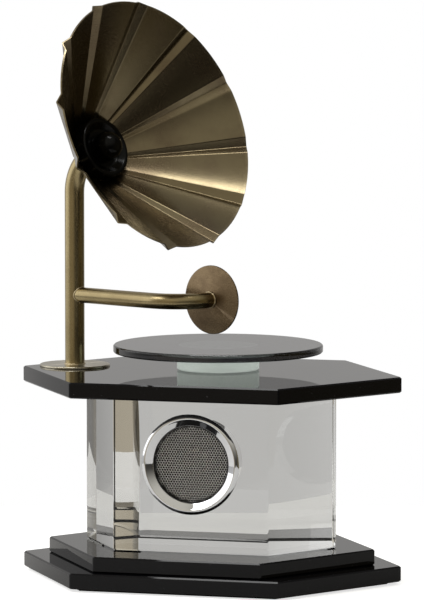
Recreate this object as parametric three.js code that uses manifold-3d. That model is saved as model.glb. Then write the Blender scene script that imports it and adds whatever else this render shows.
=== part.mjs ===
// Gramophone-shaped horn loudspeaker: three black glass plates, a clear crystal block with a round
// loudspeaker let into its front, a turntable disc, and a bent brass stand with horn and tone arm.
// Millimetres, +Z up, front towards -Y. The origin is the middle of the felt under it.
import * as THREE from "three";
import { mergeVertices } from "three/addons/utils/BufferGeometryUtils.js";
import Module from "manifold-3d";

const wasm = await Module();
wasm.setup();

// ---- driving dimensions ----
const GAP = 0.3; // left where one piece is cut round or rests on another in a turned frame
const PIPE_SIDES = 14;
const PIPE_STEPS = { stand: 30, arm: 24 };
const FELT = { inset: 6, thickness: 1.5, arris: 0.2 };
const GLASS = 8; // thickness of every plate
const ARRIS = 0.6; // polished bevel along the glass edges
// Elongated hexagons: half length to the points, half length of the long sides, half depth.
const BOTTOM_PLATE = { tip: 100, shoulder: 54, depth: 69 };
const MIDDLE_PLATE = { tip: 86.3, shoulder: 43.5, depth: 63.5 };
const TOP_PLATE = { tip: 100, shoulder: 54, depth: 69 };
const BLOCK = { tip: 66, shoulder: 40.4, depth: 38, height: 80 };

const SPACER = { radius: 21, height: 8.7 };
const PLATTER = { radius: 53.5, thickness: 4, x: 1.5, y: 9 };
const SPINDLE = { radius: 2, sunk: 5, raised: 7 };
const SLIP_WASHER = 0.3;

const STAND = { x: -74, y: 6, radius: 5, wall: 1, bend: 23 };
const FLANGE = { radius: 18, thickness: 1.2 };
const STAND_SCREW = { radius: 2, length: 26, head: 4.2, headHeight: 2.6, hexKey: 1.5 };
const STAND_HOLE = 2.6;
const STAND_WASHER = { radius: 7, thickness: 1.2 };
const STAND_INSERT = { radius: 3.7, length: 14 };
const ARM = { radius: 4, wall: 1, height: 36.8, turn: -24.5, straight: 52.7, bend: 19.5 };
const SOUND_BOX = { radius: 17.5, thickness: 0.8, rise: 1.8 };

const HORN = { turn: -26, lift: 21, offset: 1.5, length: 59.2, mouth: 64.7, neck: 4.4, sheet: 0.8 };
const RIBS = { count: 12, halfWidth: 4.25, height: 2.9, phase: 17.2 };
const PANEL_FACETS = 4;
const THROAT_CUP = { radius: 15.6, back: 14, front: 22.3 };
const DOME = { radius: 7.5, back: 18.8, shoulder: 23.2 };
const HORN_STUD = { radius: 2, back: 9.5, front: 27 };

const SPEAKER = { x: 0, up: 44.9 }; // up from the block's underside
const POCKET = { radius: 21, depth: 33, mouth: 24, mouthDepth: 5 };
const BEZEL = { radius: 25.5, opening: 19.6, proud: 1.6, body: 23.7 };
const DRIVER_BACK = 4; // how far the grille and everything behind it is set back
const GRILLE = { radius: 19.2, thickness: 0.6, back: -0.4 };
const CAN = { radius: 20.4, wall: 0.9, front: 8.4, back: 30.9 };
const GRIP_BAND = { inner: 20.45, outer: 20.9, from: 13, to: 17 };
const REAR = { aside: 6, above: 7 }; // button and socket on the back of the can
const BUTTON = { radius: 2.7, proud: 1.5, collar: 3.6 };
const SOCKET = { radius: 2.9, nozzle: 2.4, bore: 1.8, depth: 8 };

// ---- levels and places worked out from them ----
const Z_BOTTOM = FELT.thickness;
const Z_MIDDLE = Z_BOTTOM + GLASS;
const Z_BLOCK = Z_MIDDLE + GLASS;
const Z_TOP = Z_BLOCK + BLOCK.height;
const Z_DECK = Z_TOP + GLASS;
const SPEAKER_Z = Z_BLOCK + SPEAKER.up;
const Y_FRONT = -BLOCK.depth;

const radians = (degrees) => THREE.MathUtils.degToRad(degrees);
const heading = (degrees) => new THREE.Vector3(Math.cos(radians(degrees)), Math.sin(radians(degrees)), 0);
const up = new THREE.Vector3(0, 0, 1);

const hornAxis = heading(HORN.turn).multiplyScalar(Math.cos(radians(HORN.lift)));
hornAxis.z = Math.sin(radians(HORN.lift));
// The horn's cone would close to a point on its own axis; the stand's bend ends on that axis.
const bendAngle = radians(90 - HORN.lift);
const bendReach = STAND.bend * (1 - Math.cos(bendAngle));
const bendRise = STAND.bend * Math.sin(bendAngle);
const APEX_HEIGHT = 105.7; // above the deck
const hornApex = new THREE.Vector3(STAND.x, STAND.y, Z_DECK + APEX_HEIGHT);
hornApex.addScaledVector(heading(HORN.turn), HORN.offset);
const Z_BEND = hornApex.z + (bendReach - HORN.offset) * Math.tan(radians(HORN.lift)) - bendRise;
const TUBE_TAIL = 2.2; // straight end of the stand tube past its bend

// ---- finishes ----
const finish = (color, roughness, metalness, extra = {}) =>
  new THREE.MeshStandardMaterial({ color, roughness, metalness, ...extra });
const blackGlass = finish(0x0b0b0d, 0.06, 0);
const crystal = finish(0xe4e7e6, 0.03, 0, { transparent: true, opacity: 0.35 });
const smokedGlass = finish(0x3a3b3e, 0.05, 0, { transparent: true, opacity: 0.75 });
const brass = finish(0x8a7648, 0.34, 1);
const hornBrass = finish(0x6f6038, 0.4, 1);
const chrome = finish(0xd9dbdd, 0.08, 1);
const blackGloss = finish(0x0a0a0a, 0.12, 0);
const blackPlastic = finish(0x17181a, 0.5, 0);
const steel = finish(0x9a9da0, 0.35, 1);
const rubber = finish(0x1b1b1c, 0.85, 0);
const paper = finish(0x26272a, 0.9, 0);
const copper = finish(0xa9622f, 0.4, 1);
const ferrite = finish(0x2b2c2f, 0.7, 0.2);
const boardGreen = finish(0x1f5a34, 0.6, 0);
const cellBlue = finish(0x3c4f73, 0.5, 0);
const feltBlack = finish(0x151516, 0.95, 0);

// ---- solids ----
const toSolid = (geometry) => {
  const bare = geometry.clone();
  bare.deleteAttribute("normal");
  bare.deleteAttribute("uv");
  const merged = mergeVertices(bare, 1e-4);
  return new wasm.Manifold(
    new wasm.Mesh({
      numProp: 3,
      vertProperties: merged.attributes.position.array,
      triVerts: new Uint32Array(merged.index.array),
    }),
  );
};

const toGeometry = (solid) => {
  const mesh = solid.getMesh();
  const geometry = new THREE.BufferGeometry();
  geometry.setAttribute("position", new THREE.BufferAttribute(mesh.vertProperties, 3));
  geometry.setIndex(new THREE.BufferAttribute(mesh.triVerts, 1));
  geometry.computeVertexNormals();
  return geometry;
};

const cut = (geometry, ...tools) =>
  toGeometry(tools.reduce((solid, tool) => solid.subtract(toSolid(tool)), toSolid(geometry)));

const join = (...geometries) =>
  toGeometry(geometries.map(toSolid).reduce((solid, next) => solid.add(next)));

// A ring or disc turned about the Y axis from [radius, y] points. The outline starts and ends on the
// axis, or is closed on itself here, and runs anticlockwise so that its faces point outwards.
const turned = (points, segments = 28) => {
  const outline = points.map(([radius, y]) => new THREE.Vector2(radius, y));
  if (THREE.ShapeUtils.isClockWise(outline)) outline.reverse();
  if (points[0][0] > 0) outline.push(outline[0].clone());
  return new THREE.LatheGeometry(outline, segments);
};

// The same from [radius, z] points, turned about Z, for everything that stands upright.
const turnedUpright = (points, segments) => turned(points, segments).rotateX(Math.PI / 2);

const disc = (radius, from, to, segments) =>
  turned([[0, from], [radius, from], [radius, to], [0, to]], segments);
const ring = (inner, outer, from, to, segments) =>
  turned([[inner, from], [outer, from], [outer, to], [inner, to]], segments);

const box = (width, depth, height, x, y, z) =>
  new THREE.BoxGeometry(width, depth, height).translate(x, y, z);

// An upright cutter reaching the same way above and below z = 0.
const drill = (radius, reach, segments = 20) =>
  new THREE.CylinderGeometry(radius, radius, 2 * reach, segments).rotateX(Math.PI / 2);

// An elongated hexagon with bevelled edges, standing on z = 0.
const hexagonPlate = ({ tip, shoulder, depth }, height, arris = ARRIS) => {
  const outline = new THREE.Shape([
    new THREE.Vector2(-tip, 0),
    new THREE.Vector2(-shoulder, -depth),
    new THREE.Vector2(shoulder, -depth),
    new THREE.Vector2(tip, 0),
    new THREE.Vector2(shoulder, depth),
    new THREE.Vector2(-shoulder, depth),
  ]);
  const bevel = { bevelThickness: arris, bevelSize: arris, bevelOffset: -arris, bevelSegments: 1 };
  const straight = { depth: height - 2 * arris, ...bevel };
  return new THREE.ExtrudeGeometry(outline, straight).translate(0, 0, arris);
};

const circle = (radius, segments) => {
  const points = [];
  for (let i = 0; i < segments; i += 1) {
    const angle = (2 * Math.PI * i) / segments;
    points.push(new THREE.Vector2(radius * Math.cos(angle), radius * Math.sin(angle)));
  }
  return points;
};

const rodAlong = (path, radius, steps, segments) =>
  new THREE.ExtrudeGeometry(new THREE.Shape(circle(radius, segments)), { steps, extrudePath: path });

const tubeAlong = (path, radius, wall, steps, segments) => {
  const section = new THREE.Shape(circle(radius, segments));
  section.holes.push(new THREE.Path(circle(radius - wall, segments).reverse()));
  return new THREE.ExtrudeGeometry(section, { steps, extrudePath: path });
};

// A quarter-bend style arc from a point, leaving along one direction and arriving along another.
class BendCurve extends THREE.Curve {
  constructor(start, along, towards, radius, angle) {
    super();
    Object.assign(this, { start, along, towards, radius, angle });
  }
  getPoint(t, target = new THREE.Vector3()) {
    const a = this.angle * t;
    return target
      .copy(this.start)
      .addScaledVector(this.along, this.radius * Math.sin(a))
      .addScaledVector(this.towards, this.radius * (1 - Math.cos(a)));
  }
}

// ---- assembly ----
const model = new THREE.Group();

const place = (parent, name, geometry, material, x = 0, y = 0, z = 0) => {
  const mesh = new THREE.Mesh(geometry, material);
  mesh.name = name;
  mesh.position.set(x, y, z);
  parent.add(mesh);
  return mesh;
};

// Base: a felt sheet, two stepped plates and the top plate, drilled for the stand and the spindle.
const addPlates = () => {
  const { tip, shoulder, depth } = BOTTOM_PLATE;
  const { inset, thickness, arris } = FELT;
  const slant = Math.atan2(depth, tip - shoulder);
  const felt = {
    tip: tip - inset / Math.sin(slant),
    shoulder: shoulder - inset * Math.tan(slant / 2),
    depth: depth - inset,
  };
  place(model, "base_felt", hexagonPlate(felt, thickness, arris), feltBlack);
  place(model, "bottom_plate", hexagonPlate(BOTTOM_PLATE, GLASS), blackGlass, 0, 0, Z_BOTTOM);
  place(model, "middle_plate", hexagonPlate(MIDDLE_PLATE, GLASS), blackGlass, 0, 0, Z_MIDDLE);

  const standHole = drill(STAND_HOLE, GLASS).translate(STAND.x, STAND.y, 0);
  const spindleHole = drill(SPINDLE.radius + 0.05, SPINDLE.sunk).translate(PLATTER.x, PLATTER.y, GLASS);
  const top = cut(hexagonPlate(TOP_PLATE, GLASS), standHole, spindleHole);
  place(model, "top_plate", top, blackGlass, 0, 0, Z_TOP);
};

// Crystal block, bored in two steps from the front for the loudspeaker unit.
const addBlock = () => {
  const pocket = disc(POCKET.radius, Y_FRONT - 1, Y_FRONT + POCKET.depth, 40);
  pocket.translate(SPEAKER.x, 0, SPEAKER.up);
  const mouth = disc(POCKET.mouth, Y_FRONT - 1, Y_FRONT + POCKET.mouthDepth, 40);
  mouth.translate(SPEAKER.x, 0, SPEAKER.up);
  const block = cut(hexagonPlate(BLOCK, BLOCK.height), pocket, mouth);
  place(model, "crystal_block", block, crystal, 0, 0, Z_BLOCK);
};

// Loudspeaker unit, built from the block's front face backwards; y = 0 is that face.
// It pulls out of its pocket, so its button and socket are on the back of its can.
const addLoudspeaker = () => {
  const speaker = new THREE.Group();
  speaker.position.set(SPEAKER.x, Y_FRONT, SPEAKER_Z);
  model.add(speaker);
  const { radius, opening, proud, body: bezelBody } = BEZEL;
  place(speaker, "bezel_ring", turned([
    [opening, 2.9], [22.8, -1.3], [23.4, -proud], [24.6, -1.3], [radius, -0.5], [radius, 0],
    [bezelBody, 0], [bezelBody, 4.6], [20.7, 4.6], [20.7, 8], [opening, 8],
  ], 44), chrome);

  const driver = new THREE.Group();
  driver.position.y = DRIVER_BACK;
  speaker.add(driver);
  const put = (name, geometry, material) => place(driver, name, geometry, material);
  put("grille_mesh", disc(GRILLE.radius, GRILLE.back - GRILLE.thickness, GRILLE.back, 36), steel);
  put("grille_gasket", ring(17.4, GRILLE.radius, GRILLE.back, 1, 36), rubber);
  put("speaker_basket", turned([
    [17.4, 1], [GRILLE.radius, 1], [GRILLE.radius, 2.2], [18.4, 2.2], [14.4, 9], [6.7, 9], [6.7, 8],
    [13.6, 8], [17.4, 2.2],
  ]), blackPlastic);
  put("cone_surround", turned([
    [13.9, 1.6], [14.6, 0.8], [15.6, 0.5], [16.5, 0.8], [17.2, 1.6], [17.2, 2.1], [16.2, 1.4], [15.6, 1.2],
    [14.9, 1.4], [13.9, 2.1],
  ]), rubber);
  put("speaker_cone", turned([[6.3, 4.9], [13.6, 1.6], [13.6, 2.1], [6.3, 5.4]]), paper);
  put("dust_cap", turned([
    [0, 2.9], [2.4, 3.1], [4.4, 3.7], [6, 4.6], [5.5, 4.7], [4.1, 4.1], [2.2, 3.5], [0, 3.3],
  ], 24), paper);
  put("voice_coil", ring(5.8, 6.2, 4.8, 12, 28), copper);
  put("spider", ring(6.6, 14.1, 6.4, 6.8), paper);
  put("pole_plate", ring(6.7, 12, 9.1, 11), steel);
  put("magnet", ring(8, 13, 11.1, 15), ferrite);
  put("yoke", turned([[0, 9.6], [5.4, 9.6], [5.4, 15.1], [12.5, 15.1], [12.5, 17], [0, 17]], 28), steel);

  const chip = box(6, 2, 5, 0, 19.3, 13);
  const inductor = box(4, 2, 4, -12, 19.3, 0);
  put("amplifier_board", join(disc(17.5, 17.3, 18.5), chip, inductor), boardGreen);
  put("battery_cell", box(22, 5.6, 12, 0, 22.6, -8.5), cellBlue);

  const { wall, front: open, back: end } = CAN;
  const can = turned([
    [CAN.radius - wall, open], [CAN.radius, open], [CAN.radius, end], [0, end], [0, end - wall],
    [CAN.radius - wall, end - wall],
  ], 36);
  const hole = (radius, x) => disc(radius, end - 3, end + 1, 20).translate(x, 0, REAR.above);
  const buttonHole = hole(BUTTON.radius + GAP, REAR.aside);
  const socketHole = hole(SOCKET.nozzle + GAP, -REAR.aside);
  place(speaker, "speaker_can", cut(can, buttonHole, socketHole), blackPlastic);
  const band = ring(GRIP_BAND.inner, GRIP_BAND.outer, GRIP_BAND.from, GRIP_BAND.to, 36);
  place(speaker, "grip_band", band, rubber);

  const rear = (name, geometry, material, x) => place(speaker, name, geometry, material, x, end, REAR.above);
  const { radius: cap, proud: tip, collar } = BUTTON;
  rear("power_button", turned([
    [0, -3.2], [1.2, -3.2], [1.2, -2.2], [collar, -2.2], [collar, -1.1], [cap, -1.1], [cap, tip - 0.5],
    [cap - 0.5, tip], [0, tip],
  ], 24), blackGloss, REAR.aside);
  rear("button_switch", box(6.4, 3.4, 6.4, 0, -6.3, 0), blackPlastic, REAR.aside);
  const { radius: body, nozzle, bore, depth } = SOCKET;
  rear("audio_socket", turned([
    [0, -depth], [body, -depth], [body, -1.1], [nozzle, -1.1], [nozzle, 0.4], [bore, 0.4],
    [bore, 1.2 - depth], [0, 1.2 - depth],
  ], 24), blackPlastic, -REAR.aside);
};

// Turntable: a smoked glass disc on a clear spacer, which turns on a pin sunk in the top plate.
const addTurntable = () => {
  const table = new THREE.Group();
  table.position.set(PLATTER.x, PLATTER.y, Z_DECK);
  model.add(table);
  const pin = disc(SPINDLE.radius, -SPINDLE.sunk, SPINDLE.raised, 20).rotateX(Math.PI / 2);
  place(table, "spindle", pin, steel);
  const washer = ring(2.4, 6, 0, SLIP_WASHER, 20).rotateX(Math.PI / 2);
  place(table, "slip_washer", washer, blackPlastic);
  const bore = SPINDLE.radius + 0.1;
  const { radius, height } = SPACER;
  const foot = SLIP_WASHER;
  const spacer = [
    [0, SPINDLE.raised + GAP], [bore, SPINDLE.raised + GAP], [bore, foot], [radius - 0.4, foot],
    [radius, foot + 0.4], [radius, foot + height - 0.4], [radius - 0.4, foot + height], [0, foot + height],
  ];
  place(table, "spacer_disc", turnedUpright(spacer, 36), crystal);
  const edge = 0.5;
  const top = foot + height + PLATTER.thickness;
  const platter = [
    [0, foot + height], [PLATTER.radius - edge, foot + height], [PLATTER.radius, foot + height + edge],
    [PLATTER.radius, top - edge], [PLATTER.radius - edge, top], [0, top],
  ];
  place(table, "turntable_disc", turnedUpright(platter, 60), smokedGlass);
};

// Stand: a flange on the deck, a tube that bends into the horn, and the screw that holds it from below.
const tubeFoot = Z_DECK + FLANGE.thickness;
const standPath = () => {
  const path = new THREE.CurvePath();
  const bendStart = new THREE.Vector3(STAND.x, STAND.y, Z_BEND);
  path.add(new THREE.LineCurve3(new THREE.Vector3(STAND.x, STAND.y, tubeFoot), bendStart));
  path.add(new BendCurve(bendStart, up, heading(HORN.turn), STAND.bend, bendAngle));
  const bendEnd = path.curves[1].getPoint(1);
  path.add(new THREE.LineCurve3(bendEnd, bendEnd.clone().addScaledVector(hornAxis, TUBE_TAIL)));
  return path;
};

const addStand = () => {
  const { radius: rim, thickness } = FLANGE;
  const flange = turnedUpright([
    [0, 0], [rim, 0], [rim, thickness - 0.4], [rim - 0.4, thickness], [0, thickness],
  ], 36);
  const flangeWithHole = cut(flange, drill(STAND_HOLE, GLASS));
  place(model, "foot_flange", flangeWithHole, brass, STAND.x, STAND.y, Z_DECK);
  const tube = tubeAlong(standPath(), STAND.radius, STAND.wall, PIPE_STEPS.stand, PIPE_SIDES);
  place(model, "stand_tube", tube, brass);

  const { radius, length, head, headHeight, hexKey } = STAND_SCREW;
  const insert = ring(radius + 0.1, STAND_INSERT.radius, 0, STAND_INSERT.length, 20).rotateX(Math.PI / 2);
  place(model, "stand_insert", insert, steel, STAND.x, STAND.y, tubeFoot + GAP);
  const washer = ring(radius + GAP, STAND_WASHER.radius, 0, STAND_WASHER.thickness, 24).rotateX(Math.PI / 2);
  const washerLevel = Z_TOP - STAND_WASHER.thickness;
  place(model, "stand_washer", washer, steel, STAND.x, STAND.y, washerLevel);
  const screw = turnedUpright([
    [0, -headHeight], [head - 0.6, -headHeight], [head, -headHeight + 0.8], [head, 0], [radius, 0],
    [radius, length], [0, length],
  ], 24);
  const keyHole = drill(hexKey, hexKey, 6).translate(0, 0, -headHeight);
  place(model, "stand_screw", cut(screw, keyHole), steel, STAND.x, STAND.y, washerLevel);
};

// Tone arm: a tube welded across the stand, bent back through a right angle to the sound box disc.
const addArm = () => {
  const along = heading(ARM.turn);
  const back = heading(ARM.turn + 90);
  const start = new THREE.Vector3(STAND.x, STAND.y, Z_DECK + ARM.height);
  const bendStart = start.clone().addScaledVector(along, ARM.straight);
  const path = new THREE.CurvePath();
  path.add(new THREE.LineCurve3(start.clone().addScaledVector(along, 2), bendStart));
  path.add(new BendCurve(bendStart, along, back, ARM.bend, Math.PI / 2));
  const bendEnd = path.curves[1].getPoint(1);
  const armEnd = bendEnd.clone().addScaledVector(back, 1.5);
  path.add(new THREE.LineCurve3(bendEnd, armEnd));
  const pipe = tubeAlong(path, ARM.radius, ARM.wall, PIPE_STEPS.arm, PIPE_SIDES);
  const saddle = drill(STAND.radius + 0.05, 15, 28).translate(start.x, start.y, start.z);
  place(model, "tone_arm", cut(pipe, saddle), brass);

  // A shallow cone: its point meets the arm and its rim stands further back.
  const { radius, thickness, rise } = SOUND_BOX;
  const soundBox = new THREE.Group();
  soundBox.position.copy(armEnd).addScaledVector(back, GAP);
  soundBox.rotation.z = radians(ARM.turn);
  model.add(soundBox);
  place(soundBox, "sound_box_disc", turned([
    [0, 0], [2, 0.1], [radius, rise], [radius, rise + thickness], [2, 0.1 + thickness], [0, thickness],
  ], 40), hornBrass);
};

// Horn: twelve curved panels joined by twelve folded ribs that stand out behind the panels.
const hornSection = (distance, shift) => {
  const grow = distance / HORN.length;
  const slope = Math.atan2(HORN.mouth, HORN.length);
  const outward = [Math.cos(slope), -Math.sin(slope)]; // radial and axial parts of the sheet's outer normal
  const radius = HORN.mouth * grow + shift * outward[0];
  const ribGrow = 0.1 + 0.9 * grow;
  const ribWidth = RIBS.halfWidth * ribGrow;
  const ribHeight = RIBS.height * ribGrow;
  const panelRadius = Math.hypot(radius, ribWidth);
  const z = distance + shift * outward[1];
  const points = [];
  for (let k = 0; k < RIBS.count; k += 1) {
    const angle = radians(RIBS.phase) + (2 * Math.PI * k) / RIBS.count;
    const radial = new THREE.Vector3(Math.cos(angle), Math.sin(angle), 0);
    const tangent = new THREE.Vector3(-Math.sin(angle), Math.cos(angle), 0);
    const middle = radial.clone().multiplyScalar(radius).setZ(z);
    const ridge = middle.clone().addScaledVector(radial, ribHeight * outward[0]);
    ridge.z += ribHeight * outward[1];
    const before = middle.clone().addScaledVector(tangent, -ribWidth);
    const after = middle.clone().addScaledVector(tangent, ribWidth);
    points.push(before, ridge, after);
    const ribAngle = Math.atan2(ribWidth, radius);
    const panelAngle = (2 * Math.PI) / RIBS.count - 2 * ribAngle;
    for (let step = 1; step < PANEL_FACETS; step += 1) {
      const turn = angle + ribAngle + (panelAngle * step) / PANEL_FACETS;
      points.push(new THREE.Vector3(panelRadius * Math.cos(turn), panelRadius * Math.sin(turn), z));
    }
  }
  return points;
};

const hornSheet = () => {
  const loops = [
    hornSection(HORN.neck, 0),
    hornSection(HORN.length, 0),
    hornSection(HORN.length, HORN.sheet),
    hornSection(HORN.neck, HORN.sheet),
  ];
  const count = loops[0].length;
  const index = [];
  loops.forEach((_, row) => {
    const next = (row + 1) % loops.length;
    for (let i = 0; i < count; i += 1) {
      const j = (i + 1) % count;
      const [a, b, c, d] = [row * count + i, row * count + j, next * count + j, next * count + i];
      index.push(a, c, b, a, d, c);
    }
  });
  const geometry = new THREE.BufferGeometry();
  const positions = loops.flat().flatMap((point) => point.toArray());
  geometry.setAttribute("position", new THREE.Float32BufferAttribute(positions, 3));
  geometry.setIndex(index);
  return geometry;
};

const addHorn = () => {
  const across = new THREE.Vector3().crossVectors(up, hornAxis).normalize();
  const over = new THREE.Vector3().crossVectors(hornAxis, across);
  const frame = new THREE.Matrix4().makeBasis(across, over, hornAxis).setPosition(hornApex);
  const horn = new THREE.Group();
  horn.applyMatrix4(frame);
  model.add(horn);

  const clearance = rodAlong(standPath(), STAND.radius + GAP, PIPE_STEPS.stand, PIPE_SIDES);
  clearance.applyMatrix4(frame.clone().invert());
  place(horn, "horn", cut(hornSheet(), clearance), hornBrass);

  const insertFront = (bendReach - HORN.offset) / Math.cos(radians(HORN.lift)) + TUBE_TAIL - GAP;
  const stud = HORN_STUD.radius;
  place(horn, "horn_insert", turnedUpright([
    [stud + 0.1, 9.8], [3.2, 9.8], [3.4, insertFront], [stud + 0.1, insertFront],
  ], 20), steel);
  const studRod = disc(stud, HORN_STUD.back, HORN_STUD.front, 20).rotateX(Math.PI / 2);
  place(horn, "horn_stud", studRod, steel);

  const cup = THROAT_CUP;
  place(horn, "throat_cup", turnedUpright([
    [6, cup.back], [cup.radius - 1.4, cup.back], [cup.radius, cup.back + 1.6],
    [cup.radius, cup.front - 0.6], [cup.radius - 0.8, cup.front], [cup.radius - 2, cup.front - 0.4],
    [9.4, cup.front - 3.8], [stud + 0.2, cup.front - 3.8], [stud + 0.2, 17.2], [6, 17.2],
  ], 32), blackGloss);

  const dome = [[stud + 0.2, DOME.back], [DOME.radius, DOME.back], [DOME.radius, DOME.shoulder]];
  const arcs = 6;
  for (let i = 1; i <= arcs; i += 1) {
    const a = (Math.PI / 2) * (i / arcs);
    dome.push([DOME.radius * Math.cos(a), DOME.shoulder + DOME.radius * Math.sin(a)]);
  }
  dome[dome.length - 1][0] = 0;
  const hollow = [[0, HORN_STUD.front + GAP], [stud + 0.2, HORN_STUD.front + GAP]];
  place(horn, "dome_nut", turnedUpright([...hollow, ...dome], 28), blackGloss);
};

addPlates();
addBlock();
addLoudspeaker();
addTurntable();
addStand();
addArm();
addHorn();

export default model;
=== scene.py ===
"""Desk loudspeaker shaped like a horn gramophone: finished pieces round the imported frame, in metres."""

import math

import bmesh
import bpy
from mathutils import Matrix, Vector, noise


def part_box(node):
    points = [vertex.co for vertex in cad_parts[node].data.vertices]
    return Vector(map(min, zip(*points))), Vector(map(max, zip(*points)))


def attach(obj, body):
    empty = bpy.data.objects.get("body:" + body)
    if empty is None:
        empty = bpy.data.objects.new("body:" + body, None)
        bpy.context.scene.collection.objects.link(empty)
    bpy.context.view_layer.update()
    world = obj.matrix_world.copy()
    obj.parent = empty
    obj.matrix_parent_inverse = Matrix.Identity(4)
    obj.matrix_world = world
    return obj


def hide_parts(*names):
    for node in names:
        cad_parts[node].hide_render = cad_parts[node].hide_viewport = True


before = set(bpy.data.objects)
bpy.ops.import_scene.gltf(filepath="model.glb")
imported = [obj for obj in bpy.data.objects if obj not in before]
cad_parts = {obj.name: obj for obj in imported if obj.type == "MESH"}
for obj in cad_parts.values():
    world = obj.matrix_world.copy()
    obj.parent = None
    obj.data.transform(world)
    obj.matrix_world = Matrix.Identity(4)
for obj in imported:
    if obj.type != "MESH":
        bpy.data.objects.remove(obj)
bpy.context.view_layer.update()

MM = 0.001
UP = Vector((0, 0, 1))

# ---- sizes that the frame's boxes don't give, in millimetres ----
PLATE_ARRIS = 0.7
PLATE_CORNER = 1.0
PLATES = {
    "bottom_plate": {"tip": 100.0, "shoulder": 54.0, "depth": 69.0},
    "middle_plate": {"tip": 86.3, "shoulder": 43.5, "depth": 63.5},
    "top_plate": {"tip": 100.0, "shoulder": 54.0, "depth": 69.0},
}
BLOCK = {"tip": 66.0, "shoulder": 40.4, "depth": 38.0}
BLOCK_ARRIS = 0.8
BLOCK_CORNER = 0.5
POCKET = {"mouth": 24.0, "mouth_depth": 5.0, "radius": 21.0, "depth": 33.0}
AIR_GAP = 0.05
BEZEL = {"opening": 19.6, "funnel_foot": 0.7, "flange": 25.45, "body": 23.7, "shelf": 4.6, "ledge": 20.7}
BEZEL_BACK = 7.9
COLLAR = {"inner": 19.3, "outer": 19.55, "front": 0.9, "back": 2.95}
GRILLE = {"pitch": 1.345, "hole": 0.59, "sheet": 0.3, "reach": 18.8, "set_in": 0.12}
GRILLE_PROUD = {"between_three": 0.10, "between_two": 0.05}
GRILLE_RIM = {"inner": 18.3, "outer": 19.3, "front": 0.1, "back": 0.5}
CAN = {"inner": 19.5, "outer": 20.4, "back_plate": 19.4, "back_thickness": 0.9, "arris": 0.2}
GRIP = {"inner": 20.45, "valley": 20.65, "ridge": 20.9, "ridges": 4}
REAR = {"aside": 6.0, "above": 7.0, "button_hole": 3.0, "socket_hole": 2.7}
DISC_ARRIS = 0.6
PIVOT_BORE = {"radius": 2.1, "depth": 7.0}
STAND_BEND = 23.0
STAND_TAIL = 2.2
TUBE_RADIUS = 5.0
STAND_WASHER = {"bore": 2.3, "radius": 7.0, "thickness": 1.2}
STAND_SCREW = {"socket": 1.5, "shank": 2.0, "head": 4.2, "head_face": 3.5, "length": 24.8}
ARM = {"radius": 4.0, "turn": -24.5, "straight": 52.7, "bend": 19.5, "above_deck": 36.8}
ARM_START = 3.4
ARM_STUB = 1.5
SOUND_BOX = {"radius": 17.5, "lip": 0.15, "ahead": 0.3}
WELD_WIDTH = {"foot": 0.45, "arm": 0.42}
HORN = {"turn": -26.0, "lift": 21.0, "offset": 1.5, "length": 59.2, "mouth": 64.7, "neck": 4.4}
HORN_SHEET = 0.8
PANEL_STEPS = 10
HORN_ROWS = 36
RIBS = {"count": 12, "half_width": 4.25, "height": 2.9, "phase": 17.2}
APEX_ABOVE_DECK = 105.7
DOME = {"radius": 7.5, "centre": 23.2, "foot": 18.8, "stud": 2.2, "stud_end": 27.3}
ROUND = 96

# ---- the view and the studio: metres, watts, and degrees unless said ----
CAMERA_AZIMUTH = 0.271  # radians
CAMERA_ELEVATION = 0.0956  # radians
CAMERA_DISTANCE = 2.4836
CAMERA_LENS = 293.5
CAMERA_TARGET = (0.743, 0.0, 141.9)  # millimetres
TABLE_FRONT = {"left": (-0.45, -0.32), "right": (0.40, -0.50)}
TABLE_BACK = {"left": -0.42, "right": 0.37, "away": 0.26}
TABLE_GLOW = 0.7
GROUND_TONE = (0.05, 0.046, 0.04)
# azimuth and elevation, reach at full strength, reach where it ends, tone
GLOW_ZONES = {
    "left": (-85, 20, 15, 55, (0.45, 0.45, 0.45)),
    "front_low": (-22, 6, 12, 48, (0.33, 0.29, 0.22)),
    "behind": (207, 15, 30, 80, (0.47, 0.465, 0.46)),
    "right_low": (95, -5, 10, 45, (0.10, 0.08, 0.035)),
    "right_high": (30, 55, 15, 60, (0.50, 0.48, 0.42)),
}
WINDOW = {"azimuth": -80, "away": 1.3, "height": 0.60, "size": (1.2, 1.1), "power": 4.0}
CEILING = {"forward": 0.22, "height": 1.6, "size": (1.0, 0.25), "power": 5.5}
FRONT_LAMP = {"azimuth": -50, "elevation": 46, "away": 1.4, "size": (0.55, 0.5), "power": 3.5}
FRONT_LAMP_AIM = Vector((0, 0, 0.1))


def in_mm(node):
    """Lowest and highest corner of a frame node, in millimetres."""
    low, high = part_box(node)
    return Vector(low) / MM, Vector(high) / MM


def centre_of(node):
    low, high = in_mm(node)
    return (low + high) / 2


def heading(degrees):
    angle = math.radians(degrees)
    return Vector((math.cos(angle), math.sin(angle), 0))


DECK = in_mm("top_plate")[1].z
STAND_FOOT = centre_of("foot_flange")
SPEAKER = centre_of("bezel_ring")
BLOCK_FRONT = in_mm("crystal_block")[0].y
CAN_BACK = in_mm("speaker_can")[1].y
INWARD = Vector((0, 1, 0))

# ---- outlines ----


def eased(points, reach, steps=3, closed=False):
    """The same line with its corners rounded off over a short reach."""
    line = []
    for i, corner in enumerate(points):
        if not closed and i in (0, len(points) - 1):
            line.append(corner.copy())
            continue
        to_last = points[i - 1] - corner
        to_next = points[(i + 1) % len(points)] - corner
        cut = min(reach, 0.45 * to_last.length, 0.45 * to_next.length)
        start = corner + to_last.normalized() * cut
        end = corner + to_next.normalized() * cut
        for step in range(steps + 1):
            t = step / steps
            line.append(start * (1 - t) ** 2 + corner * (2 * t * (1 - t)) + end * t * t)
    return line


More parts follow.
